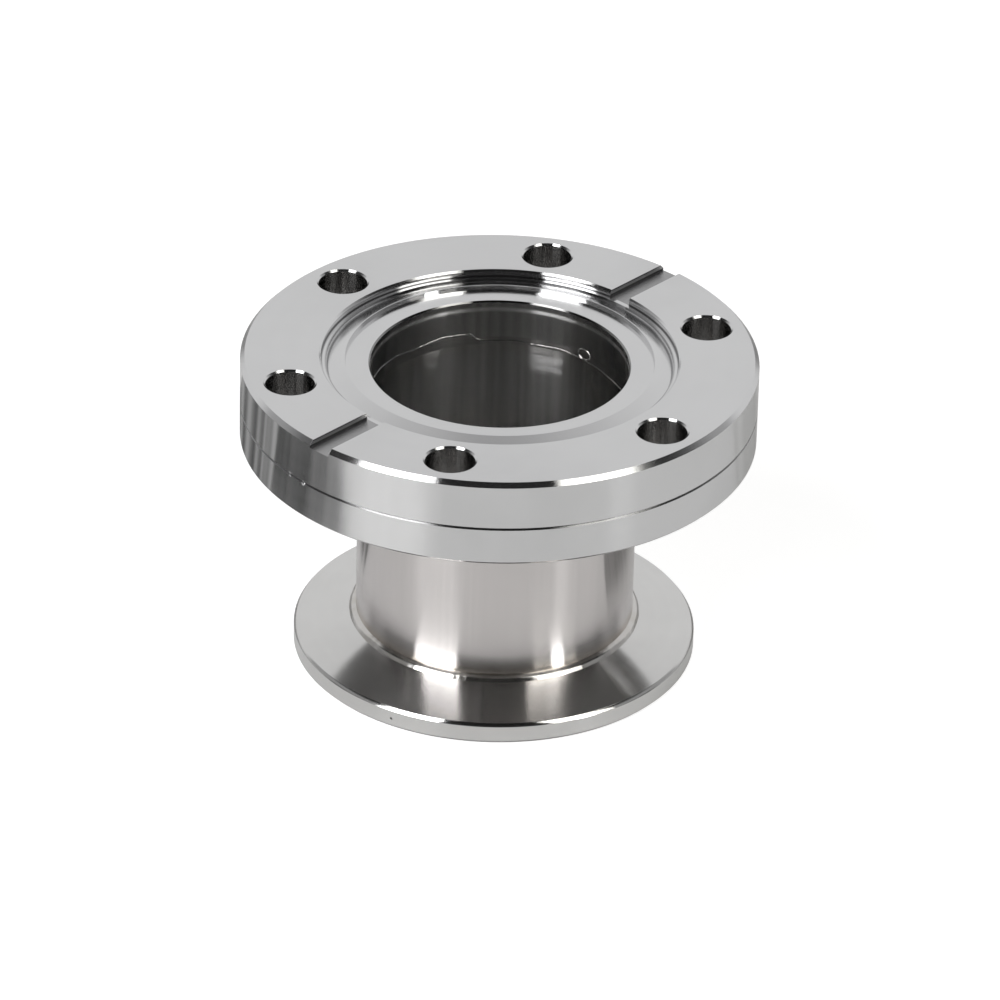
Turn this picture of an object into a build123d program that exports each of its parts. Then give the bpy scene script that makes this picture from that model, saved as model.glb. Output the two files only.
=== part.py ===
"""Vacuum flange adapter: a knife-edge bolted flange joined by a short tube to a clamp flange.

Sizes are in millimetres. The origin is the centre of the clamp flange's sealing face, and +Z
runs up the axis to the knife-edge face. The leak-check grooves lie on the X axis, midway
between bolt holes.
"""
from build123d import *
from math import radians, tan
import os

# Driving sizes of the whole adapter
overall_height = 44.6
bore_diameter = 35.0
tube_wall = 1.5

# Knife-edge flange, 70 mm across, held by six bolts
knife_flange_diameter = 70.0
knife_flange_thickness = 12.2
rim_chamfer = 0.6
rim_foot_chamfer = 0.4
witness_depth_below_face = 6.8
witness_groove_width = 0.36
witness_groove_depth = 0.18

# Gasket recess and knife edge. The relief below the knife edge reaches this share of the way out
# to the recess wall, 46.9 mm across, and leaves the ledge that the gasket seats on.
recess_diameter = 48.3
recess_chamfer = 0.25
gasket_seat_depth = 1.0
relief_share = 0.78125
knife_diameter = 41.9
knife_tip_depth = 0.62
knife_tip_flat = 0.1
knife_slope_angle = 20.0
knife_wall_draft = 0.12
land_depth = 1.25
bore_chamfer = 0.2

# Bolt holes and leak-check grooves. The bolt circle lies this share of the way from the recess
# wall out to the rim, 58.7 mm across.
bolt_circle_share = 0.4793
bolt_hole_diameter = 6.7
bolt_hole_count = 6
bolt_hole_chamfer = 0.25
leak_groove_count = 2
leak_groove_width = 3.4

# Clamp flange, 55 mm across, with its 15 degree clamping taper
clamp_flange_diameter = 55.0
clamp_rim_thickness = 3.0
clamp_taper_angle = 15.0
clamp_rim_chamfer = 0.35
clamp_foot_chamfer = 0.5
centring_recess_diameter = 41.2
centring_recess_depth = 2.6
centring_recess_chamfer = 0.3
centring_corner_chamfer = 0.3

# Tube sockets and welds
socket_clearance = 0.05
socket_shoulder = 1.0
seam_depth_below_face = 7.3
socket_mouth_chamfer = 0.3
seam_groove_size = 0.6
seam_crown = 0.12
foot_weld_leg = 0.5

# Radii and heights that follow from the driving sizes
bore_radius = bore_diameter / 2
tube_radius = bore_radius + tube_wall
socket_radius = tube_radius + socket_clearance
face_z = overall_height
flange_back_z = face_z - knife_flange_thickness
seam_z = face_z - seam_depth_below_face
socket_floor_z = centring_recess_depth + socket_shoulder
clamp_radius = clamp_flange_diameter / 2


def taper_z(radius):
    """Height of the clamping taper at a radius, from the rim's sharp corner inwards."""
    return clamp_rim_thickness + (clamp_radius - radius) * tan(radians(clamp_taper_angle))


os.makedirs("parts", exist_ok=True)

# Knife-edge flange: turned from one disc, then drilled and grooved
rim_radius = knife_flange_diameter / 2
witness_z = face_z - witness_depth_below_face
recess_radius = recess_diameter / 2
seat_z = face_z - gasket_seat_depth
knife_radius = knife_diameter / 2
relief_radius = knife_radius + relief_share * (recess_radius - knife_radius)
tip_outer_radius = knife_radius + knife_tip_flat / 2
tip_inner_radius = knife_radius - knife_tip_flat / 2
tip_z = face_z - knife_tip_depth
relief_z = tip_z - (relief_radius - tip_outer_radius) * tan(radians(knife_slope_angle))
land_z = face_z - land_depth
bolt_circle_radius = recess_radius + bolt_circle_share * (rim_radius - recess_radius)
bolt_hole_radius = bolt_hole_diameter / 2
first_hole_angle = 180 / bolt_hole_count
groove_start_radius = (relief_radius + recess_radius) / 2

# The broken edges beside the bolt holes take less than half of the thinnest wall there
hole_wall = min(bolt_circle_radius - recess_radius, rim_radius - bolt_circle_radius) - bolt_hole_radius
edge_limit = 0.45 * hole_wall
rim_edge = min(rim_chamfer, edge_limit)
rim_foot_edge = min(rim_foot_chamfer, edge_limit)
recess_edge = min(recess_chamfer, edge_limit)
hole_edge = min(bolt_hole_chamfer, edge_limit)

with BuildPart() as knife_edge_flange:
    with BuildSketch(Plane.XZ):
        with BuildLine():
            Polyline(
                (bore_radius, seam_z + seam_groove_size),
                (bore_radius + seam_groove_size, seam_z),
                (socket_radius, seam_z),
                (socket_radius, flange_back_z + socket_mouth_chamfer),
                (socket_radius + socket_mouth_chamfer, flange_back_z),
                (rim_radius - rim_foot_edge, flange_back_z),
                (rim_radius, flange_back_z + rim_foot_edge),
                (rim_radius, witness_z - witness_groove_width / 2),
                (rim_radius - witness_groove_depth, witness_z),
                (rim_radius, witness_z + witness_groove_width / 2),
                (rim_radius, face_z - rim_edge),
                (rim_radius - rim_edge, face_z),
                (recess_radius + recess_edge, face_z),
                (recess_radius, face_z - recess_edge),
                (recess_radius, seat_z),
                (relief_radius, seat_z),
                (relief_radius, relief_z),
                (tip_outer_radius, tip_z),
                (tip_inner_radius, tip_z),
                (tip_inner_radius - knife_wall_draft, land_z),
                (bore_radius + bore_chamfer, land_z),
                (bore_radius, land_z - bore_chamfer),
                close=True,
            )
        make_face()
    revolve(axis=Axis.Z)
    with BuildSketch(Plane.XY.offset(face_z)):
        with PolarLocations(bolt_circle_radius, bolt_hole_count, first_hole_angle):
            Circle(bolt_hole_radius)
    extrude(amount=-knife_flange_thickness, mode=Mode.SUBTRACT)
    round_edges = knife_edge_flange.edges().filter_by(GeomType.CIRCLE)
    chamfer(
        round_edges.filter_by(lambda edge: abs(edge.radius - bolt_hole_radius) < 0.01),
        hole_edge,
    )
    with BuildSketch(Plane.XY.offset(face_z)):
        with PolarLocations(groove_start_radius, leak_groove_count):
            Rectangle(rim_radius, leak_groove_width, align=(Align.MIN, Align.CENTER))
    extrude(amount=-gasket_seat_depth, mode=Mode.SUBTRACT)

knife_edge_flange.part.label = "knife_edge_flange"
export_step(knife_edge_flange.part, "parts/knife_edge_flange.step")

# Neck tube: drawn tube, seated in the clamp flange and butted inside the knife-edge flange
with BuildPart() as neck_tube:
    with BuildSketch(Plane.XZ):
        with BuildLine():
            Polyline(
                (bore_radius, socket_floor_z),
                (tube_radius, socket_floor_z),
                (tube_radius, seam_z),
                (bore_radius + seam_groove_size, seam_z),
                (bore_radius, seam_z - seam_groove_size),
                close=True,
            )
        make_face()
    revolve(axis=Axis.Z)

neck_tube.part.label = "neck_tube"
export_step(neck_tube.part, "parts/neck_tube.step")

# Upper weld bead: the seam inside the bore, where the tube's end meets the knife-edge flange
with BuildPart() as upper_weld_bead:
    with BuildSketch(Plane.XZ):
        with BuildLine():
            seam_low = (bore_radius, seam_z - seam_groove_size)
            seam_high = (bore_radius, seam_z + seam_groove_size)
            Polyline(seam_low, (bore_radius + seam_groove_size, seam_z), seam_high)
            ThreePointArc(seam_high, (bore_radius - seam_crown, seam_z), seam_low)
        make_face()
    revolve(axis=Axis.Z)

upper_weld_bead.part.label = "upper_weld_bead"
export_step(upper_weld_bead.part, "parts/upper_weld_bead.step")

# Clamp flange: turned disc with a taper at the back and a centring recess in the sealing face
centring_radius = centring_recess_diameter / 2
taper_end_radius = clamp_radius - clamp_rim_chamfer

with BuildPart() as clamp_flange:
    with BuildSketch(Plane.XZ):
        with BuildLine():
            Polyline(
                (centring_radius + centring_recess_chamfer, 0),
                (clamp_radius - clamp_foot_chamfer, 0),
                (clamp_radius, clamp_foot_chamfer),
                (clamp_radius, clamp_rim_thickness - clamp_rim_chamfer),
                (taper_end_radius, taper_z(taper_end_radius)),
                (socket_radius, taper_z(socket_radius)),
                (socket_radius, socket_floor_z),
                (bore_radius, socket_floor_z),
                (bore_radius, centring_recess_depth + bore_chamfer),
                (bore_radius + bore_chamfer, centring_recess_depth),
                (centring_radius - centring_corner_chamfer, centring_recess_depth),
                (centring_radius, centring_recess_depth - centring_corner_chamfer),
                (centring_radius, centring_recess_chamfer),
                close=True,
            )
        make_face()
    revolve(axis=Axis.Z)

clamp_flange.part.label = "clamp_flange"
export_step(clamp_flange.part, "parts/clamp_flange.step")

# Lower weld bead: the slim fillet weld round the foot of the tube, with a flat face
foot_weld_radius = tube_radius + foot_weld_leg

with BuildPart() as lower_weld_bead:
    with BuildSketch(Plane.XZ):
        with BuildLine():
            Polyline(
                (tube_radius, taper_z(tube_radius)),
                (foot_weld_radius, taper_z(foot_weld_radius)),
                (tube_radius, taper_z(tube_radius) + foot_weld_leg),
                close=True,
            )
        make_face()
    revolve(axis=Axis.Z)

lower_weld_bead.part.label = "lower_weld_bead"
export_step(lower_weld_bead.part, "parts/lower_weld_bead.step")
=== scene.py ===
import math

import bmesh
import bpy
from mathutils import Matrix, Vector, noise


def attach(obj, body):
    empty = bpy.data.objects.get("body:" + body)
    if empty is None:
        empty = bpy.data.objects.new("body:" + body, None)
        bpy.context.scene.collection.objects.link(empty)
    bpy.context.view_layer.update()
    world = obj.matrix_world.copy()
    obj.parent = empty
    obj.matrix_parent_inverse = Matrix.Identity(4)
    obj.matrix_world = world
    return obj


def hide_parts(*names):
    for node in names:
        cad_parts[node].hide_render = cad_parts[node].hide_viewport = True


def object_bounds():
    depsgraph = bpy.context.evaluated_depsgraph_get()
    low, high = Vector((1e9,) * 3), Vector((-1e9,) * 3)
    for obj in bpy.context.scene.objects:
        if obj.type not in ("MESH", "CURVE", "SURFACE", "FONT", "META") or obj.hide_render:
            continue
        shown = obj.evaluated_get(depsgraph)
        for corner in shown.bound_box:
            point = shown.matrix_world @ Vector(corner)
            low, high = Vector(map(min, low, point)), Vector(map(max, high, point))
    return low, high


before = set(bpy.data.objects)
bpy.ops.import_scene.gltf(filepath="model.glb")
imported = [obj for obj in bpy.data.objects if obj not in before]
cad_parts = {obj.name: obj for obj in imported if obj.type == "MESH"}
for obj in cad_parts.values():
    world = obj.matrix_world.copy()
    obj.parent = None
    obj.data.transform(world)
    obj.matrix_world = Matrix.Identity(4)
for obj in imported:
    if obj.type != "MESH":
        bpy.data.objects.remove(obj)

cad_low, cad_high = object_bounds()

# Clamp flange: a disc turned from stainless bar, with a 15 degree taper at the back that a ring
# clamp pulls on. The lathe leaves fine rings round its axis, and the rim has one small pit.
clamp_bore_radius = 0.0176
clamp_steel_colour = (0.66, 0.655, 0.648, 1)
clamp_bored_colour = (0.5, 0.49, 0.48, 1)
clamp_roughness = 0.125
clamp_dull_roughness = 0.3
clamp_ring_count = 5200
# The rim's broken edge is a little rounded between these heights
rim_edge_low = 0.00265
rim_edge_high = 0.00309
rim_inside = 0.026
edge_roundness = 6.0e8
pit_place = (-0.02682, -0.00606, 0.00147)
pit_radius = 0.00028
pit_depth = 40.0
pit_shade = 0.85
# Reliefs are counted in thousandths of a millimetre
relief_unit = 0.000001


def join(tree, socket, value):
    """Gives a socket a plain value, or the output of another node."""
    if isinstance(value, bpy.types.NodeSocket):
        tree.links.new(value, socket)
    else:
        socket.default_value = value


def add_node(tree, kind, sockets, **settings):
    """A shader node with its settings, and its sockets by name."""
    made = tree.nodes.new("ShaderNode" + kind)
    for name, value in settings.items():
        setattr(made, name, value)
    for name, value in sockets.items():
        join(tree, made.inputs[name], value)
    return made


def reckon(tree, operation, *values):
    """The answer of one step of arithmetic."""
    made = tree.nodes.new("ShaderNodeMath")
    made.operation = operation
    for place, value in enumerate(values):
        join(tree, made.inputs[place], value)
    return made.outputs[0]


def reckon_vector(tree, operation, *values):
    """The answer of one step of vector arithmetic: a number for a length, distance or dot product."""
    made = tree.nodes.new("ShaderNodeVectorMath")
    made.operation = operation
    for place, value in enumerate(values):
        join(tree, made.inputs[place], value)
    return made.outputs["Value" if operation in ("LENGTH", "DISTANCE", "DOT_PRODUCT") else "Vector"]


def rise(tree, value, start, end, low=0.0, high=1.0):
    """Goes smoothly from low to high while value goes from start to end."""
    sockets = {"Value": value, "From Min": start, "From Max": end, "To Min": low, "To Max": high}
    return add_node(tree, "MapRange", sockets, interpolation_type="SMOOTHSTEP").outputs["Result"]


def blend(tree, share, first, second, data_type="FLOAT"):
    """First where share is 0 and second where it is 1."""
    sockets = {"Factor": share, "A": first, "B": second}
    return add_node(tree, "Mix", sockets, data_type=data_type).outputs["Result"]


def new_effect(name, numbers, results):
    """A node group that works out masks from the place on the piece."""
    effect = bpy.data.node_groups.new(name, "ShaderNodeTree")
    for socket_name, value in numbers.items():
        socket = effect.interface.new_socket(socket_name, in_out="INPUT", socket_type="NodeSocketFloat")
        socket.default_value = value
    for socket_name in results:
        effect.interface.new_socket(socket_name, in_out="OUTPUT", socket_type="NodeSocketFloat")
    return effect, effect.nodes.new("NodeGroupInput"), effect.nodes.new("NodeGroupOutput")


def place_effect(tree, effect, **numbers):
    """Puts an effect in a material, with its own numbers."""
    made = tree.nodes.new("ShaderNodeGroup")
    made.node_tree = effect
    for name, value in numbers.items():
        join(tree, made.inputs[name], value)
    return made


def new_steel(name, anisotropy):
    """Bare stainless steel, whose lay runs round the axis unless its material says otherwise."""
    material = bpy.data.materials.new(name)
    material.use_nodes = True
    tree = material.node_tree
    shader = tree.nodes["Principled BSDF"]
    shader.inputs["Metallic"].default_value = 1
    shader.inputs["Anisotropic"].default_value = anisotropy
    shader.inputs["Anisotropic Rotation"].default_value = 0.25
    place = add_node(tree, "TexCoord", {}).outputs["Object"]
    from_axis = reckon_vector(tree, "MULTIPLY", place, (1, 1, 0))
    join(tree, shader.inputs["Tangent"], reckon_vector(tree, "CROSS_PRODUCT", from_axis, (0, 0, 1)))
    return material, tree, shader, place, from_axis


# Rings that a lathe tool leaves on faces, walls and tapers alike
lathe_rings, given, found = new_effect("lathe rings", {"Count": 5000.0}, ("Height", "Tone"))
tree = lathe_rings
place = add_node(tree, "TexCoord", {}).outputs["Object"]
across = reckon_vector(tree, "LENGTH", reckon_vector(tree, "MULTIPLY", place, (1, 1, 0)))
along = add_node(tree, "SeparateXYZ", {"Vector": place}).outputs["Z"]
feed = reckon(tree, "MULTIPLY", reckon(tree, "ADD", across, along), given.outputs["Count"])
fine = add_node(tree, "TexNoise", {"W": feed, "Scale": 1.0, "Detail": 2.0}, noise_dimensions="1D")
broad = add_node(tree, "TexNoise", {"W": feed, "Scale": 0.13, "Detail": 1.0}, noise_dimensions="1D")
join(tree, found.inputs["Height"], fine.outputs[0])
join(tree, found.inputs["Tone"], broad.outputs[0])

# Faint smudges and hairline scratches from handling
handling, given, found = new_effect("handling", {"Size": 0.012}, ("Haze", "Scratches"))
tree = handling
place = add_node(tree, "TexCoord", {}).outputs["Object"]
per_size = reckon(tree, "DIVIDE", 1.0, given.outputs["Size"])
smudge = add_node(tree, "TexNoise", {"Vector": place, "Scale": per_size, "Detail": 4.0, "Roughness": 0.6})
join(tree, found.inputs["Haze"], rise(tree, smudge.outputs[0], 0.38, 0.68))
rubbed = add_node(tree, "Mapping", {"Vector": place, "Rotation": (0.5, 0.3, 0.9), "Scale": (90, 9000, 9000)})
hair = add_node(tree, "TexNoise", {"Vector": rubbed.outputs[0], "Scale": 1.0, "Detail": 0.0})
where = add_node(tree, "TexNoise", {"Vector": place, "Scale": 160.0, "Detail": 1.0})
hair_line = rise(tree, hair.outputs[0], 0.74, 0.8)
hair_line = reckon(tree, "MULTIPLY", hair_line, rise(tree, where.outputs[0], 0.5, 0.62))
join(tree, found.inputs["Scratches"], hair_line)

clamp_steel, tree, shader, place, from_axis = new_steel("clamp_steel", 1.0)
rings = place_effect(tree, lathe_rings, Count=clamp_ring_count)
marks = place_effect(tree, handling, Size=0.011)
height = add_node(tree, "SeparateXYZ", {"Vector": place}).outputs["Z"]
radius = reckon_vector(tree, "LENGTH", from_axis)
bored = rise(tree, radius, clamp_bore_radius + 0.0001, clamp_bore_radius)
pit = rise(tree, reckon_vector(tree, "DISTANCE", place, pit_place), pit_radius, 0.3 * pit_radius)
tone = reckon(tree, "MULTIPLY_ADD", rings.outputs["Tone"], 0.04, -0.02)
tone = reckon(tree, "MULTIPLY_ADD", marks.outputs["Haze"], -0.03, tone)
colour = blend(tree, bored, clamp_steel_colour, clamp_bored_colour, "RGBA")
bright = reckon(tree, "SUBTRACT", reckon(tree, "ADD", tone, 1.0), reckon(tree, "MULTIPLY", pit, pit_shade))
colour = reckon_vector(tree, "MULTIPLY", colour, bright)
join(tree, shader.inputs["Base Color"], colour)
rough = reckon(tree, "MULTIPLY_ADD", marks.outputs["Haze"], 0.02, clamp_roughness)
rough = reckon(tree, "MULTIPLY_ADD", rings.outputs["Tone"], 0.02, rough)
rough = blend(tree, reckon(tree, "MAXIMUM", bored, pit), rough, clamp_dull_roughness)
join(tree, shader.inputs["Roughness"], rough)
relief = reckon(tree, "MULTIPLY_ADD", rings.outputs["Height"], 0.3, reckon(tree, "MULTIPLY", pit, -pit_depth))
on_edge = add_node(tree, "Clamp", {"Value": height, "Min": rim_edge_low, "Max": rim_edge_high}).outputs[0]
above_low = reckon(tree, "SUBTRACT", on_edge, rim_edge_low)
below_high = reckon(tree, "SUBTRACT", rim_edge_high, on_edge)
crown = reckon(tree, "MULTIPLY", above_low, below_high)
crown = reckon(tree, "MULTIPLY", crown, reckon(tree, "GREATER_THAN", radius, rim_inside))
relief = reckon(tree, "MULTIPLY_ADD", crown, edge_roundness, relief)
relief = reckon(tree, "MULTIPLY_ADD", marks.outputs["Scratches"], -0.6, relief)
bump = add_node(tree, "Bump", {"Strength": 1.0, "Distance": relief_unit, "Height": relief})
join(tree, shader.inputs["Normal"], bump.outputs["Normal"])
clamp_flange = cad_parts["clamp_flange"]
clamp_flange.data.materials.clear()
clamp_flange.data.materials.append(clamp_steel)

# Neck tube: a length of drawn stainless tube, polished lengthwise outside. It sits in the clamp
# flange's socket and ends at the seam in the knife-edge flange's bore.
tube_colour = (0.665, 0.637, 0.63, 1)
tube_inside_colour = (0.71, 0.707, 0.703, 1)
tube_roughness = 0.155
inside_roughness = 0.14
scuffed_roughness = 0.25
tube_middle_radius = 0.0182
straw_colour = (0.62, 0.53, 0.4, 1)
straw_share = 0.35
seam_straw_share = 0.3
foot_height = 0.0056
foot_heat_reach = 0.0022
draw_in_top = 0.0088
draw_in_depth = 205.0
seam_height = 0.0373
seam_heat_reach = 0.003
# Two patches below the seam that were scuffed with a brush: turns in degrees, and heights
scuffs = ((13, 30, 0.0330, 0.0368), (71, 79, 0.0342, 0.0366))
scuff_tail_low = 0.012

tube_steel, tree, shader, place, from_axis = new_steel("tube_steel", 1.0)
marks = place_effect(tree, handling, Size=0.014)
height = add_node(tree, "SeparateXYZ", {"Vector": place}).outputs["Z"]
radius = reckon_vector(tree, "LENGTH", from_axis)
inside = rise(tree, radius, tube_middle_radius + 0.0002, tube_middle_radius - 0.0002)
drawn = add_node(tree, "Mapping", {"Vector": place, "Scale": (1500, 1500, 9)}).outputs[0]
line = add_node(tree, "TexNoise", {"Vector": drawn, "Scale": 1.0, "Detail": 3.0}).outputs[0]
wide = add_node(tree, "Mapping", {"Vector": place, "Scale": (330, 330, 12)}).outputs[0]
band = add_node(tree, "TexNoise", {"Vector": wide, "Scale": 1.0, "Detail": 2.0}).outputs[0]
near_foot = rise(tree, height, foot_height + foot_heat_reach, foot_height)
from_seam = reckon(tree, "ABSOLUTE", reckon(tree, "SUBTRACT", height, seam_height))
near_seam = reckon(tree, "MULTIPLY", rise(tree, from_seam, seam_heat_reach, 0.0), seam_straw_share)
heat = reckon(tree, "MULTIPLY", reckon(tree, "MAXIMUM", near_foot, near_seam), straw_share)
colour = blend(tree, inside, tube_colour, tube_inside_colour, "RGBA")
colour = blend(tree, heat, colour, straw_colour, "RGBA")
bright = reckon(tree, "MULTIPLY_ADD", band, 0.14, 0.94)
bright = reckon(tree, "MULTIPLY_ADD", line, 0.1, reckon(tree, "SUBTRACT", bright, 0.05))
bright = blend(tree, inside, bright, rise(tree, band, 0.32, 0.68, 0.84, 1.16))
colour = reckon_vector(tree, "MULTIPLY", colour, bright)
join(tree, shader.inputs["Base Color"], colour)
rough = reckon(tree, "MULTIPLY_ADD", band, 0.04, tube_roughness)
rough = reckon(tree, "MULTIPLY_ADD", marks.outputs["Haze"], 0.015, rough)
# Each scuffed patch has an uneven edge, and fades downwards in a long faint tail
parts = add_node(tree, "SeparateXYZ", {"Vector": place})
turn = reckon(tree, "DEGREES", reckon(tree, "ARCTAN2", parts.outputs["Y"], parts.outputs["X"]))
scuff_edge = add_node(tree, "TexNoise", {"Vector": place, "Scale": 900.0, "Detail": 2.0}).outputs[0]
turn = reckon(tree, "MULTIPLY_ADD", scuff_edge, 5.0, reckon(tree, "SUBTRACT", turn, 2.5))
scuff_height = reckon(tree, "MULTIPLY_ADD", scuff_edge, 0.0012, reckon(tree, "SUBTRACT", height, 0.0006))
scuffed = 0.0
for start, end, low, high in scuffs:
    past_start = rise(tree, turn, start - 1.5, start + 1.5)
    before_end = rise(tree, turn, end + 1.5, end - 1.5)
    in_turn = reckon(tree, "MULTIPLY", past_start, before_end)
    above_low = rise(tree, scuff_height, low - 0.001, low + 0.001)
    below_high = rise(tree, scuff_height, high + 0.0003, high)
    full = reckon(tree, "MULTIPLY", above_low, below_high)
    faint = rise(tree, height, scuff_tail_low, low, 0.0, 0.25)
    tail = reckon(tree, "MULTIPLY", faint, rise(tree, height, high, low))
    scuff = reckon(tree, "MULTIPLY", in_turn, reckon(tree, "MAXIMUM", full, tail))
    scuffed = reckon(tree, "ADD", scuffed, scuff)
brushed = add_node(tree, "Mapping", {"Vector": place, "Scale": (220, 220, 3600)}).outputs[0]
brushed = add_node(tree, "TexNoise", {"Vector": brushed, "Scale": 1.0, "Detail": 2.0}).outputs[0]
scuffed = reckon(tree, "MULTIPLY", scuffed, rise(tree, brushed, 0.32, 0.62, 0.45, 1.0))
inside_rough = blend(tree, scuffed, inside_roughness, scuffed_roughness)
join(tree, shader.inputs["Roughness"], blend(tree, inside, rough, inside_rough))
relief = reckon(tree, "MULTIPLY_ADD", marks.outputs["Scratches"], -0.6, reckon(tree, "MULTIPLY", line, 1.2))
# The weld has drawn the tube's foot in a little as it cooled
draw_in = add_node(tree, "MapRange", {"Value": height, "From Min": draw_in_top, "From Max": foot_height})
draw_in = reckon(tree, "POWER", draw_in.outputs["Result"], 2.0)
relief = reckon(tree, "MULTIPLY_ADD", draw_in, -draw_in_depth, relief)
bump = add_node(tree, "Bump", {"Strength": 1.0, "Distance": relief_unit, "Height": relief})
join(tree, shader.inputs["Normal"], bump.outputs["Normal"])
neck_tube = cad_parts["neck_tube"]
neck_tube.data.materials.clear()
neck_tube.data.materials.append(tube_steel)

# Foot weld: a slim ring fused round the foot of the tube without filler. It is a low rounded bead
# with a steep toe on the taper, a little uneven all the way round.
foot_weld_section = (
    (0.01900, 0.00522), (0.01900, 0.00582), (0.0191, 0.00579), (0.0194, 0.00566), (0.01962, 0.0055),
    (0.01966, 0.00545), (0.01991, 0.00503), (0.0199, 0.00497),
)
# The weld wanders and ripples outside this radius, and inside it lies on the tube
foot_weld_inside = 0.01905
foot_weld_drift = 0.00003
foot_weld_fine_drift = 0.00001
foot_weld_ripple = 0.000002
foot_weld_ripples = 150
weld_steps = 480
sharpest_smooth = math.radians(40)
weld_colour = (0.6, 0.585, 0.57, 1)
weld_straw_colour = (0.55, 0.53, 0.5, 1)
weld_roughness = 0.15
seam_colour = (0.62, 0.61, 0.6, 1)
seam_roughness = 0.14
ridge_dark_colour = (0.12, 0.118, 0.116, 1)
ridge_pale_colour = (0.2, 0.197, 0.194, 1)
ridge_roughness = 0.42
# Fused metal nearer to the axis than this is the seam's ridge
ridge_reach = 0.01748


def spun_ring(section, steps):
    """A closed section in the XZ plane, spun once round the axis."""
    shape = bmesh.new()
    corners = [shape.verts.new((x, 0, z)) for x, z in section]
    edges = [shape.edges.new((corners[k - 1], corners[k])) for k in range(len(corners))]
    bmesh.ops.spin(
        shape, geom=corners + edges, cent=(0, 0, 0), axis=(0, 0, 1), dvec=(0, 0, 0),
        angle=2 * math.pi, steps=steps, use_merge=True, use_duplicate=False,
    )
    bmesh.ops.remove_doubles(shape, verts=shape.verts[:], dist=0.000001)
    bmesh.ops.recalc_face_normals(shape, faces=shape.faces[:])
    return shape


def finish_piece(name, shape, material):
    """Makes an object of a shape, smooth, riding on the body, with its finish."""
    mesh = bpy.data.meshes.new(name)
    for face in shape.faces:
        face.smooth = True
    for edge in shape.edges:
        edge.smooth = edge.calc_face_angle(0) < sharpest_smooth
    shape.to_mesh(mesh)
    shape.free()
    mesh.materials.append(material)
    piece = bpy.data.objects.new(name, mesh)
    bpy.context.scene.collection.objects.link(piece)
    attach(piece, "root")
    return piece


# Fused metal for both welds: a straw tint from the heat at the foot, and a duller ridge at the seam
weld_metal, tree, shader, place, from_axis = new_steel("weld_metal", 1.0)
marks = place_effect(tree, handling, Size=0.004)
tint = add_node(tree, "TexNoise", {"Vector": place, "Scale": 260.0, "Detail": 2.0}).outputs[0]
at_seam = rise(tree, add_node(tree, "SeparateXYZ", {"Vector": place}).outputs["Z"], 0.02, 0.03)
colour = blend(tree, rise(tree, tint, 0.4, 0.7), weld_colour, weld_straw_colour, "RGBA")
radius = reckon_vector(tree, "LENGTH", from_axis)
ridge = reckon(tree, "MULTIPLY", at_seam, rise(tree, radius, ridge_reach, ridge_reach - 0.000015))
colour = blend(tree, at_seam, colour, seam_colour, "RGBA")
faint = add_node(tree, "TexNoise", {"Vector": place, "Scale": 110.0, "Detail": 1.0}).outputs[0]
ridge_colour = blend(tree, rise(tree, faint, 0.38, 0.62), ridge_dark_colour, ridge_pale_colour, "RGBA")
colour = blend(tree, ridge, colour, ridge_colour, "RGBA")
join(tree, shader.inputs["Base Color"], colour)
rough = blend(tree, at_seam, weld_roughness, seam_roughness)
rough = reckon(tree, "MULTIPLY_ADD", marks.outputs["Haze"], 0.04, rough)
rough = blend(tree, ridge, rough, ridge_roughness)
join(tree, shader.inputs["Roughness"], rough)
grain = add_node(tree, "TexNoise", {"Vector": place, "Scale": 5000.0, "Detail": 2.0}).outputs[0]
bump = add_node(tree, "Bump", {"Strength": 1.0, "Distance": relief_unit, "Height": grain})
join(tree, shader.inputs["Normal"], bump.outputs["Normal"])

shape = spun_ring(foot_weld_section, weld_steps)
for corner in shape.verts:
    out = math.hypot(corner.co.x, corner.co.y)
    turn = math.atan2(corner.co.y, corner.co.x)
    if out > foot_weld_inside:
        around = Vector((math.cos(turn), math.sin(turn), 0))
        drift = noise.noise(around * 9) * foot_weld_drift + noise.noise(around * 31) * foot_weld_fine_drift
        ripple = foot_weld_ripple * math.sin(foot_weld_ripples * turn + 3 * noise.noise(around * 14))
        corner.co += around * (drift + ripple)
        corner.co.z += 0.6 * drift
foot_weld = finish_piece("foot_weld", shape, weld_metal)
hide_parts("lower_weld_bead")

# Knife-edge flange: a thick disc turned all over, drilled with six bolt holes and milled with two
# leak-check grooves. Its face and gasket recess are the finest surfaces of the adapter.
flange_steel_colour = (0.66, 0.66, 0.665, 1)
flange_bored_colour = (0.72, 0.718, 0.715, 1)
flange_drilled_shaded_colour = (0.46, 0.455, 0.45, 1)
flange_back_shaded_colour = (0.34, 0.335, 0.33, 1)
flange_roughness = 0.13
bored_roughness = 0.16
witness_roughness = 0.25
bright_ring_roughness = 0.24
milled_roughness = 0.32
back_roughness = 0.35
flange_ring_count = 4600
flange_face_height = 0.0446
flange_back_height = 0.0324
flange_bore_radius = 0.0175
bolt_circle_radius = 0.02935
bolt_hole_reach = 0.00361
hole_step = math.radians(60)
hole_start = math.radians(30)
# The bore's broken edge, painted darker as shade, and a ring below it whose colour is painted brighter
bore_edge_low = 0.04314
bore_edge_high = 0.04337
bore_edge_shade = 0.65
bright_ring_height = 0.0421
bright_ring_gain = 0.4
# The witness groove round the rim, painted darker as shade, with two raised flecks beside it painted bright
# as glints
witness_height = 0.0378
witness_half_width = 0.00017
witness_radius = 0.0345
witness_shade = 0.6
flecks = ((-0.03453, 0.00574, 0.03782), (-0.03487, 0.003, 0.0377))
fleck_reach = 0.0004
fleck_height = 60.0
fleck_glint_gain = 0.3
# The leak-check grooves' walls, painted dark as shade with lengthwise streaks, and a painted highlight line
# across them part way down
groove_half_width = 0.00172
groove_start = 0.02405
groove_depth = 0.001
groove_dark_shade = 0.84
groove_pale_shade = 0.66
groove_highlight_height = 0.0442
groove_highlight_gain = 0.68
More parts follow.
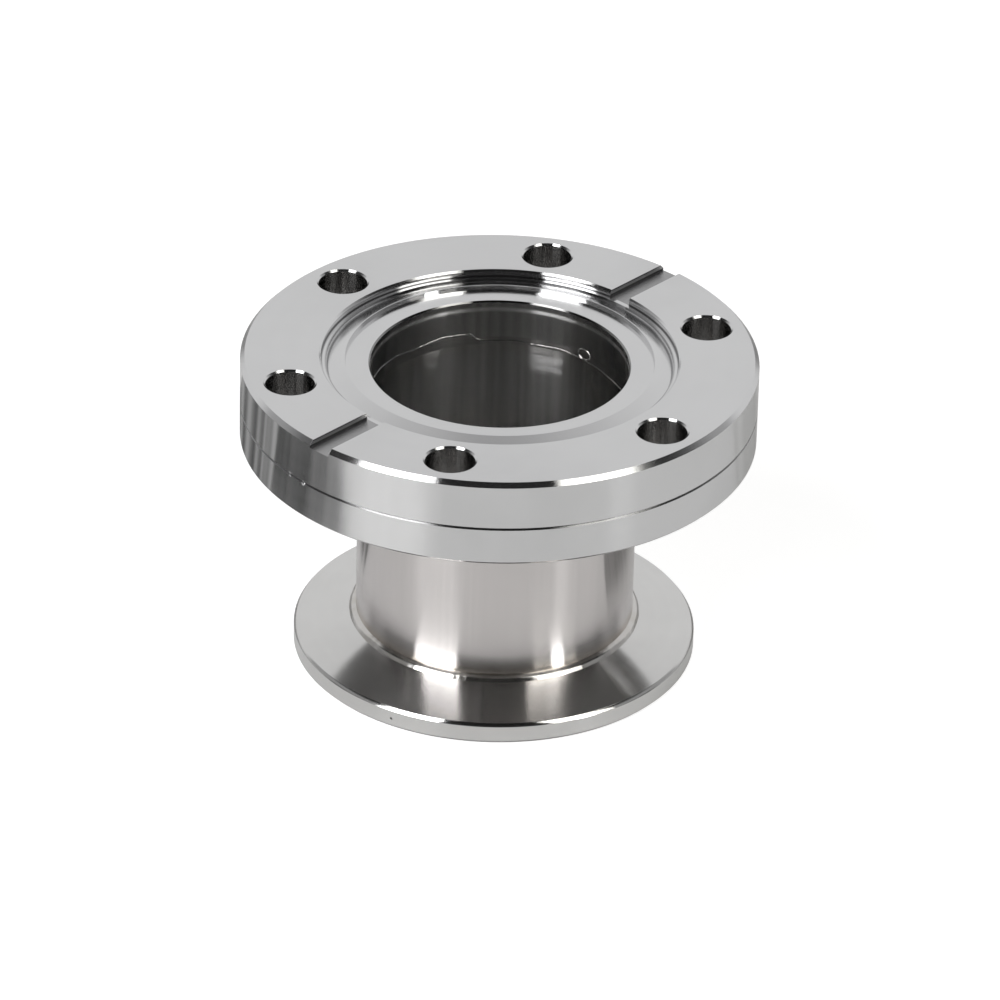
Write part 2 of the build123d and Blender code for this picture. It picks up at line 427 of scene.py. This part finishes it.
# The gasket recess is a little smoother than the face outside it, and has painted shade in its two inside
# corners
face_start = 0.0243
recess_smoother = 0.03
recess_corners = ((0.02415, 0.0436), (0.02345, 0.04344))
corner_shade_tone = 0.35

turned_steel, tree, shader, place, from_axis = new_steel("turned_steel", 1.0)
rings = place_effect(tree, lathe_rings, Count=flange_ring_count)
marks = place_effect(tree, handling, Size=0.016)
parts = add_node(tree, "SeparateXYZ", {"Vector": place})
height = parts.outputs["Z"]
radius = reckon_vector(tree, "LENGTH", from_axis)
# The nearest bolt hole's axis, which the lay of its wall runs round
turn = reckon(tree, "ARCTAN2", parts.outputs["Y"], parts.outputs["X"])
number = reckon(tree, "DIVIDE", reckon(tree, "SUBTRACT", turn, hole_start), hole_step)
number = reckon(tree, "ROUND", number)
turn = reckon(tree, "MULTIPLY_ADD", number, hole_step, hole_start)
hole_x = reckon(tree, "MULTIPLY", reckon(tree, "COSINE", turn), bolt_circle_radius)
hole_y = reckon(tree, "MULTIPLY", reckon(tree, "SINE", turn), bolt_circle_radius)
hole_axis = add_node(tree, "CombineXYZ", {"X": hole_x, "Y": hole_y}).outputs[0]
from_hole = reckon_vector(tree, "SUBTRACT", from_axis, hole_axis)
drilled = reckon(tree, "LESS_THAN", reckon_vector(tree, "LENGTH", from_hole), bolt_hole_reach)
# Zones of the piece
from_witness = reckon(tree, "ABSOLUTE", reckon(tree, "SUBTRACT", height, witness_height))
witness = rise(tree, from_witness, witness_half_width + 0.00003, witness_half_width)
witness = reckon(tree, "MULTIPLY", witness, reckon(tree, "GREATER_THAN", radius, witness_radius))
below_chamfer = rise(tree, height, flange_face_height - 0.0002, flange_face_height - 0.0004)
hole_wall = reckon(tree, "MULTIPLY", drilled, below_chamfer)
bored = rise(tree, radius, flange_bore_radius + 0.00025, flange_bore_radius + 0.00015)
edge_height = add_node(tree, "Clamp", {"Value": height, "Min": bore_edge_low, "Max": bore_edge_high})
at_edge = reckon(tree, "COMPARE", edge_height.outputs[0], height, 0.000001)
bore_edge = reckon(tree, "MULTIPLY", at_edge, bored)
back = rise(tree, height, flange_back_height + 0.00008, flange_back_height + 0.00002)
beside = reckon(tree, "LESS_THAN", reckon(tree, "ABSOLUTE", parts.outputs["Y"]), groove_half_width)
below_face = rise(tree, height, flange_face_height - 0.00002, flange_face_height - 0.00006)
groove_floor = flange_face_height - groove_depth
above_floor = rise(tree, height, groove_floor - 0.00004, groove_floor + 0.00004)
milled = reckon(tree, "MULTIPLY", beside, rise(tree, radius, groove_start, groove_start + 0.0001))
milled = reckon(tree, "MULTIPLY", reckon(tree, "MULTIPLY", milled, below_face), above_floor)
# The lay runs round the axis, round each hole in its wall, and along each milled groove
lay = blend(tree, drilled, from_axis, from_hole, "VECTOR")
lay = blend(tree, milled, lay, (0, 1, 0), "VECTOR")
join(tree, shader.inputs["Tangent"], reckon_vector(tree, "CROSS_PRODUCT", lay, (0, 0, 1)))
# Painted shade: the colour darkens toward the recess's two inside corners, but not in the grooves
corner = 1.0
for corner_radius, corner_height in recess_corners:
    aside = reckon(tree, "SUBTRACT", radius, corner_radius)
    above = reckon(tree, "SUBTRACT", height, corner_height)
    aside_squared = reckon(tree, "MULTIPLY", aside, aside)
    apart = reckon(tree, "SQRT", reckon(tree, "MULTIPLY_ADD", above, above, aside_squared))
    corner = reckon(tree, "MULTIPLY", corner, rise(tree, apart, 0.00006, 0.0003, corner_shade_tone, 1.0))
corner = blend(tree, beside, corner, 1.0)
fleck = 0.0
for fleck_place in flecks:
    from_fleck = reckon_vector(tree, "DISTANCE", place, fleck_place)
    fleck = reckon(tree, "ADD", fleck, rise(tree, from_fleck, fleck_reach, 0.25 * fleck_reach))
# Colour, roughness and relief
colour = blend(tree, bored, flange_steel_colour, flange_bored_colour, "RGBA")
# The bolt holes' walls are painted darker as shade inside the holes, besides their duller drilled finish
colour = blend(tree, hole_wall, colour, flange_drilled_shaded_colour, "RGBA")
# The back face is painted dark as shade under the flange, besides its duller finish
colour = blend(tree, back, colour, flange_back_shaded_colour, "RGBA")
# Painted shade and highlight: the groove walls are darkened and streaked lengthwise, and a lighter line is
# painted across them
cutter = add_node(tree, "TexNoise", {"W": height, "Scale": 3600.0, "Detail": 1.0}, noise_dimensions="1D")
groove_shade_and_cutter_lines = rise(tree, cutter.outputs[0], 0.35, 0.65, -groove_dark_shade, -groove_pale_shade)
from_groove_highlight = reckon(tree, "ABSOLUTE", reckon(tree, "SUBTRACT", height, groove_highlight_height))
groove_highlight = rise(tree, from_groove_highlight, 0.00026, 0.00018, 0.0, groove_highlight_gain)
groove_shade_and_cutter_lines = reckon(tree, "MULTIPLY", milled, reckon(tree, "ADD", groove_shade_and_cutter_lines, groove_highlight))
tone = reckon(tree, "MULTIPLY_ADD", rings.outputs["Tone"], 0.02, 0.99)
tone = reckon(tree, "ADD", tone, groove_shade_and_cutter_lines)
tone = reckon(tree, "MULTIPLY_ADD", witness, -witness_shade, tone)
tone = reckon(tree, "MULTIPLY_ADD", bore_edge, -bore_edge_shade, tone)
# The ring below the bore's edge is painted brighter
from_ring = reckon(tree, "ABSOLUTE", reckon(tree, "SUBTRACT", height, bright_ring_height))
bright_ring = reckon(tree, "MULTIPLY", bored, rise(tree, from_ring, 0.0005, 0.0001))
tone = reckon(tree, "MULTIPLY_ADD", bright_ring, bright_ring_gain, tone)
tone = reckon(tree, "MULTIPLY_ADD", marks.outputs["Haze"], -0.025, tone)
# Painted glints: the two flecks are painted brighter, on top of their raised relief
tone = reckon(tree, "MULTIPLY_ADD", fleck, fleck_glint_gain, reckon(tree, "MULTIPLY", tone, corner))
join(tree, shader.inputs["Base Color"], reckon_vector(tree, "MULTIPLY", colour, tone))
rough = reckon(tree, "MULTIPLY_ADD", marks.outputs["Haze"], 0.02, flange_roughness)
rough = reckon(tree, "MULTIPLY_ADD", rings.outputs["Tone"], 0.02, rough)
rough = blend(tree, reckon(tree, "MAXIMUM", bored, hole_wall), rough, bored_roughness)
in_recess = rise(tree, radius, face_start + 0.0001, face_start)
rough = reckon(tree, "MULTIPLY_ADD", in_recess, -recess_smoother, rough)
rough = blend(tree, witness, rough, witness_roughness)
rough = blend(tree, bright_ring, rough, bright_ring_roughness)
rough = blend(tree, milled, rough, milled_roughness)
rough = blend(tree, back, rough, back_roughness)
join(tree, shader.inputs["Roughness"], rough)
relief = reckon(tree, "MULTIPLY", rings.outputs["Height"], 0.2)
relief = reckon(tree, "MULTIPLY_ADD", marks.outputs["Scratches"], -0.5, relief)
relief = reckon(tree, "MULTIPLY", relief, reckon(tree, "SUBTRACT", 1.0, drilled))
relief = reckon(tree, "MULTIPLY_ADD", fleck, fleck_height, relief)
bump = add_node(tree, "Bump", {"Strength": 1.0, "Distance": relief_unit, "Height": relief})
join(tree, shader.inputs["Normal"], bump.outputs["Normal"])
knife_edge_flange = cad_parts["knife_edge_flange"]
knife_edge_flange.data.materials.clear()
knife_edge_flange.data.materials.append(turned_steel)

# Seam weld: the run of weld inside the bore that joins the tube's end to the knife-edge flange.
# It fills the notch between them, and its fine ridge wanders up and down as a hand weld does.
seam_fill_section = ((0.017482, 0.03668), (0.0181, 0.0373), (0.017502, 0.03792))
ridge_radius = 0.01749
ridge_depth = 0.00004
ridge_half_height = 0.0001
ridge_fine_wander = 0.00007
ridge_swell = 0.00002
seam_ridge_section = tuple(
    (
        ridge_radius - ridge_depth * math.cos(math.radians(a)),
        seam_height + ridge_half_height * math.sin(math.radians(a)),
    )
    for a in range(0, 360, 36)
)
# Turn in degrees and height in millimetres of the ridge above the notch
seam_wander = (
    (-180, -0.3), (-150, 0.1), (-120, -0.2), (-80, -0.4), (-45, -0.7), (-17, -0.95), (-3, -0.6), (7, -0.35),
    (13, -0.2), (28, -0.3), (34, 0.0), (49, -0.1), (52, 0.1), (56, 1.0), (67, 1.1), (79, 0.75), (84, 0.6),
    (98, 1.0), (118, 1.1), (140, 0.6), (160, 0.1), (180, -0.3),
)
# The small round crater where the weld was ended: a fine raised ring, laid on the bore's wall
crater_turn = 1.2
crater_height = 0.0377
crater_radius = 0.0009
crater_section = ((0.00009, 0), (0, 0.00005), (-0.00009, 0), (0, -0.00005))


def wander_at(turn):
    """Height of the ridge above the notch at a turn in degrees, in metres."""
    for (start, low), (end, high) in zip(seam_wander, seam_wander[1:]):
        if start <= turn <= end:
            share = (turn - start) / (end - start)
            return 0.001 * (low + (high - low) * share * share * (3 - 2 * share))
    return 0.0


shape = spun_ring(seam_fill_section, weld_steps)
ridge = spun_ring(seam_ridge_section, 2 * weld_steps)
for corner in ridge.verts:
    turn = math.atan2(corner.co.y, corner.co.x)
    around = Vector((math.cos(turn), math.sin(turn), 0))
    swell = 1 + 0.5 * noise.noise(around * 17) + 0.15 * math.sin(110 * turn)
    corner.co -= around * ridge_swell * (swell - 1)
    corner.co.z = seam_height + (corner.co.z - seam_height) * swell + wander_at(math.degrees(turn))
    corner.co.z += ridge_fine_wander * noise.noise(around * 24)
crater = spun_ring([(crater_radius + x, z) for x, z in crater_section], 48)
for corner in crater.verts:
    turn = math.radians(crater_turn) + 1.2 * corner.co.x / flange_bore_radius
    out = flange_bore_radius - 0.00001 - corner.co.z
    corner.co = Vector((out * math.cos(turn), out * math.sin(turn), crater_height + 0.8 * corner.co.y))
bmesh.ops.recalc_face_normals(crater, faces=crater.faces[:])
for extra in (ridge, crater):
    extra_mesh = bpy.data.meshes.new("extra")
    extra.to_mesh(extra_mesh)
    extra.free()
    shape.from_mesh(extra_mesh)
    bpy.data.meshes.remove(extra_mesh)
seam_weld = finish_piece("seam_weld", shape, weld_metal)
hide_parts("upper_weld_bead")

# Camera: a long lens a metre away, looking down on the face of the upper flange at 30 degrees.
# It stands between the leak-check groove and the bolt hole beside it, slightly rolled.
camera_turn = math.radians(-47.8)
camera_tilt = math.radians(30.07)
camera_roll = math.radians(1.355)
camera_distance = 0.983
lens_length = 262.8
aim_below_face = 0.01954

to_camera = Vector((
    math.sin(camera_turn) * math.cos(camera_tilt),
    -math.cos(camera_turn) * math.cos(camera_tilt),
    math.sin(camera_tilt),
))
level_right = Vector((math.cos(camera_turn), math.sin(camera_turn), 0))
level_up = to_camera.cross(level_right)
image_right = level_right * math.cos(camera_roll) + level_up * math.sin(camera_roll)
image_up = level_up * math.cos(camera_roll) - level_right * math.sin(camera_roll)
aim = Vector((0, 0, cad_high[2])) - image_up * aim_below_face
camera_data = bpy.data.cameras.new("camera")
camera_data.lens = lens_length
camera_data.sensor_width = 36
camera_data.clip_start = 0.05
camera_data.clip_end = 20
camera = bpy.data.objects.new("camera", camera_data)
camera.matrix_world = Matrix((image_right, image_up, to_camera)).transposed().to_4x4()
camera.location = aim + to_camera * camera_distance
scene = bpy.context.scene
scene.collection.objects.link(camera)
scene.camera = camera
scene.view_settings.view_transform = "Standard"
front = Vector((to_camera.x, to_camera.y, 0)).normalized()

# Table: a matt pale top. It is lit to a pale grey for the metal, and reaches the camera as white
# as the background is, while the object's shadow stays on it.
table_size = 3.0
table_drop = 0.00005
table_colour = (0.5, 0.5, 0.5, 1)
glow_for_camera = 0.78
glow_for_metal = 0.28
# Under the part the table has no glow, from this radius to the next
dark_radius = 0.0265
bright_radius = 0.0285

top = bmesh.new()
bmesh.ops.create_grid(top, x_segments=1, y_segments=1, size=table_size)
table_mesh = bpy.data.meshes.new("table")
top.to_mesh(table_mesh)
top.free()
table = bpy.data.objects.new("table", table_mesh)
table.location.z = -table_drop
scene.collection.objects.link(table)

table_white = bpy.data.materials.new("table_white")
table_white.use_nodes = True
tree = table_white.node_tree
tree.nodes.clear()
ray = add_node(tree, "LightPath", {})
place = add_node(tree, "TexCoord", {}).outputs["Object"]
clear_of_part = rise(tree, reckon_vector(tree, "LENGTH", place), dark_radius, bright_radius)
mirrored = reckon(tree, "MAXIMUM", ray.outputs["Is Glossy Ray"], ray.outputs["Is Transmission Ray"])
facing = add_node(tree, "LayerWeight", {"Blend": 0.5}).outputs["Facing"]
slant = reckon(tree, "MULTIPLY", rise(tree, facing, 0.1, 0.45), rise(tree, facing, 0.82, 0.6))
mirrored = reckon(tree, "MULTIPLY", mirrored, clear_of_part)
mirrored = reckon(tree, "MULTIPLY", mirrored, reckon(tree, "MULTIPLY", slant, glow_for_metal))
white = reckon(tree, "MULTIPLY_ADD", ray.outputs["Is Camera Ray"], glow_for_camera, mirrored)
paint = add_node(tree, "BsdfDiffuse", {"Color": table_colour}).outputs[0]
glow = add_node(tree, "Emission", {"Strength": white}).outputs[0]
both = add_node(tree, "AddShader", {})
join(tree, both.inputs[0], paint)
join(tree, both.inputs[1], glow)
join(tree, add_node(tree, "OutputMaterial", {}).inputs["Surface"], both.outputs[0])
table_mesh.materials.append(table_white)

# Cards: one white and five grey ones, pale to dark, lie flat on the table beside the part, outside the
# picture, and give the sides of the rim and of the tube their streaked edges. The grey ones are painted
# shade, standing in for the object's shadows on the table. Only reflections show them.
card_height = 0.0005
card_roughness = 0.8
streak_count = 9.0


def lay_card(name, from_right, to_right, from_front, to_front, grey, contrast):
    """A streaked card between two distances to the right of the axis and two toward the camera."""
    paper = bpy.data.materials.new(name)
    paper.use_nodes = True
    tree = paper.node_tree
    shader = tree.nodes["Principled BSDF"]
    place = add_node(tree, "TexCoord", {}).outputs["Object"]
    parts = add_node(tree, "SeparateXYZ", {"Vector": place})
    turn = reckon(tree, "ARCTAN2", parts.outputs["Y"], parts.outputs["X"])
    turn = reckon(tree, "MULTIPLY", turn, streak_count)
    streak = add_node(tree, "TexNoise", {"W": turn, "Scale": 1.0, "Detail": 3.0}, noise_dimensions="1D")
    darkest = (1 - contrast) * grey
    palest = (1 + contrast) * grey
    join(tree, shader.inputs["Base Color"], rise(tree, streak.outputs[0], 0.3, 0.7, darkest, palest))
    shader.inputs["Roughness"].default_value = card_roughness
    flat = bmesh.new()
    bmesh.ops.create_grid(flat, x_segments=1, y_segments=1, size=0.5)
    bmesh.ops.scale(flat, vec=(to_right - from_right, to_front - from_front, 1), verts=flat.verts[:])
    middle = Vector(((from_right + to_right) / 2, (from_front + to_front) / 2, card_height))
    bmesh.ops.translate(flat, vec=middle, verts=flat.verts[:])
    square_on = Matrix((level_right, front, (0, 0, 1))).transposed()
    bmesh.ops.transform(flat, matrix=square_on.to_4x4(), verts=flat.verts[:])
    mesh = bpy.data.meshes.new(name)
    flat.to_mesh(mesh)
    flat.free()
    mesh.materials.append(paper)
    card = bpy.data.objects.new(name, mesh)
    scene.collection.objects.link(card)
    card.visible_camera = False
    card.visible_diffuse = False
    card.visible_shadow = False


lay_card("front_card", -0.124, -0.07, 0.024, 0.05, 0.12, 0.6)
lay_card("white_card", -0.1, -0.036, 0.05, 0.104, 0.9, 0.03)
lay_card("near_card", -0.126, -0.072, -0.012, 0.024, 0.045, 0.9)
lay_card("far_card", -0.126, -0.034, -0.068, -0.012, 0.32, 0.7)
lay_card("right_card", 0.037, 0.066, -0.028, 0.005, 0.29, 0.3)
lay_card("shade_card", 0.043, 0.125, -0.074, -0.028, 0.8, 0.1)

# Soft boxes: at the left a tall one in three parts, brightest in the middle, and at the right a high
# one with a slim one below it. They stand upright beside the camera and face the part.
box_centre_height = 0.02


def soft_box(name, from_turn, to_turn, from_height, to_height, distance, brightness, colour=(1, 1, 1)):
    """An upright soft box between two turns from the camera's side and two heights, in degrees."""
    middle = math.radians((from_turn + to_turn) / 2)
    half_width = math.tan(math.radians((to_turn - from_turn) / 2)) * distance
    low = math.tan(math.radians(from_height)) * distance
    high = math.tan(math.radians(to_height)) * distance
    lamp = bpy.data.lights.new(name, "AREA")
    lamp.shape = "RECTANGLE"
    lamp.size = 2 * half_width
    lamp.size_y = high - low
    lamp.energy = brightness * math.pi * lamp.size * lamp.size_y
    lamp.color = colour
    holder = bpy.data.objects.new(name, lamp)
    outward = front * math.cos(middle) + level_right * math.sin(middle)
    holder.location = outward * distance + Vector((0, 0, box_centre_height + (low + high) / 2))
    holder.rotation_euler = outward.to_track_quat("Z", "Y").to_euler()
    holder.visible_camera = False
    scene.collection.objects.link(holder)


soft_box("left_box_low", -64, -29, -1.8, 18, 0.6, 3.4)
soft_box("left_box", -64, -29, 18, 44, 0.6, 8)
soft_box("left_box_high", -72, -35, 46, 61, 0.6, 6)
soft_box("right_box", 34, 71, 20, 60, 0.62, 3.7, (1, 0.99, 0.94))
soft_box("right_strip", 47, 57, -1.8, 22, 0.6, 6)

# Room: a pale backdrop behind the object that fades upwards, grey walls at both sides, a dim ceiling,
# and darkness in front, round the camera. The camera itself sees plain white.
backdrop_steps = ((0.5, 1.02), (0.65, 0.97), (0.76, 0.9), (0.88, 0.75), (0.94, 0.6))
backdrop_low = 1.02
backdrop_high = 0.2
darkness = 0.015
front_wall = 0.06
side_wall = 0.5
# The walls fade in and out over these heights, and the ceiling fades in: 0 is level and 1 straight up
walls_from = (0.18, 0.28)
walls_to = (0.6, 0.5)
ceiling_from = (0.965, 0.99)
ceiling_glow = 0.5
share_on_matt = 0.5

room = bpy.data.worlds.new("room")
scene.world = room
room.use_nodes = True
tree = room.node_tree
tree.nodes.clear()
direction = add_node(tree, "TexCoord", {}).outputs["Generated"]
upwards = add_node(tree, "SeparateXYZ", {"Vector": direction}).outputs["Z"]
level = reckon_vector(tree, "LENGTH", reckon_vector(tree, "MULTIPLY", direction, (1, 1, 0)))
level = reckon(tree, "MAXIMUM", level, 0.01)
behind = reckon(tree, "DIVIDE", reckon_vector(tree, "DOT_PRODUCT", direction, -front), level)
before = reckon(tree, "DIVIDE", reckon_vector(tree, "DOT_PRODUCT", direction, front), level)
backdrop = add_node(tree, "ValToRGB", {"Fac": upwards})
steps = backdrop.color_ramp
for step_place, step_value in backdrop_steps:
    step = steps.elements.new(step_place)
    step.color = (step_value, step_value, step_value, 1)
steps.elements[0].color = (backdrop_low, backdrop_low, backdrop_low, 1)
steps.elements[-1].color = (backdrop_high, backdrop_high, backdrop_high, 1)
pale = reckon(tree, "MULTIPLY", backdrop.outputs["Color"], rise(tree, behind, 0.35, 0.6))
horizon = rise(tree, upwards, 0.34, 0.08, 0.0, 0.75)
horizon = reckon(tree, "MULTIPLY", rise(tree, behind, 0.0, 0.25), horizon)
lit = reckon(tree, "MAXIMUM", reckon(tree, "MAXIMUM", pale, horizon), darkness)
at_walls = reckon(tree, "MULTIPLY", rise(tree, upwards, *walls_from), rise(tree, upwards, *walls_to))
walls = reckon(tree, "MULTIPLY", rise(tree, before, 0.85, 0.45, front_wall, side_wall), at_walls)
ceiling = rise(tree, upwards, *ceiling_from, 0.0, ceiling_glow)
seen = reckon(tree, "MAXIMUM", lit, reckon(tree, "MAXIMUM", walls, ceiling))
ray = add_node(tree, "LightPath", {})
mirrored = reckon(tree, "MAXIMUM", ray.outputs["Is Glossy Ray"], ray.outputs["Is Transmission Ray"])
light = blend(tree, mirrored, reckon(tree, "MULTIPLY", lit, share_on_matt), seen)
light = blend(tree, ray.outputs["Is Camera Ray"], light, 1.0)
glow = add_node(tree, "Background", {"Strength": light}).outputs[0]
join(tree, add_node(tree, "OutputWorld", {}).inputs["Surface"], glow)
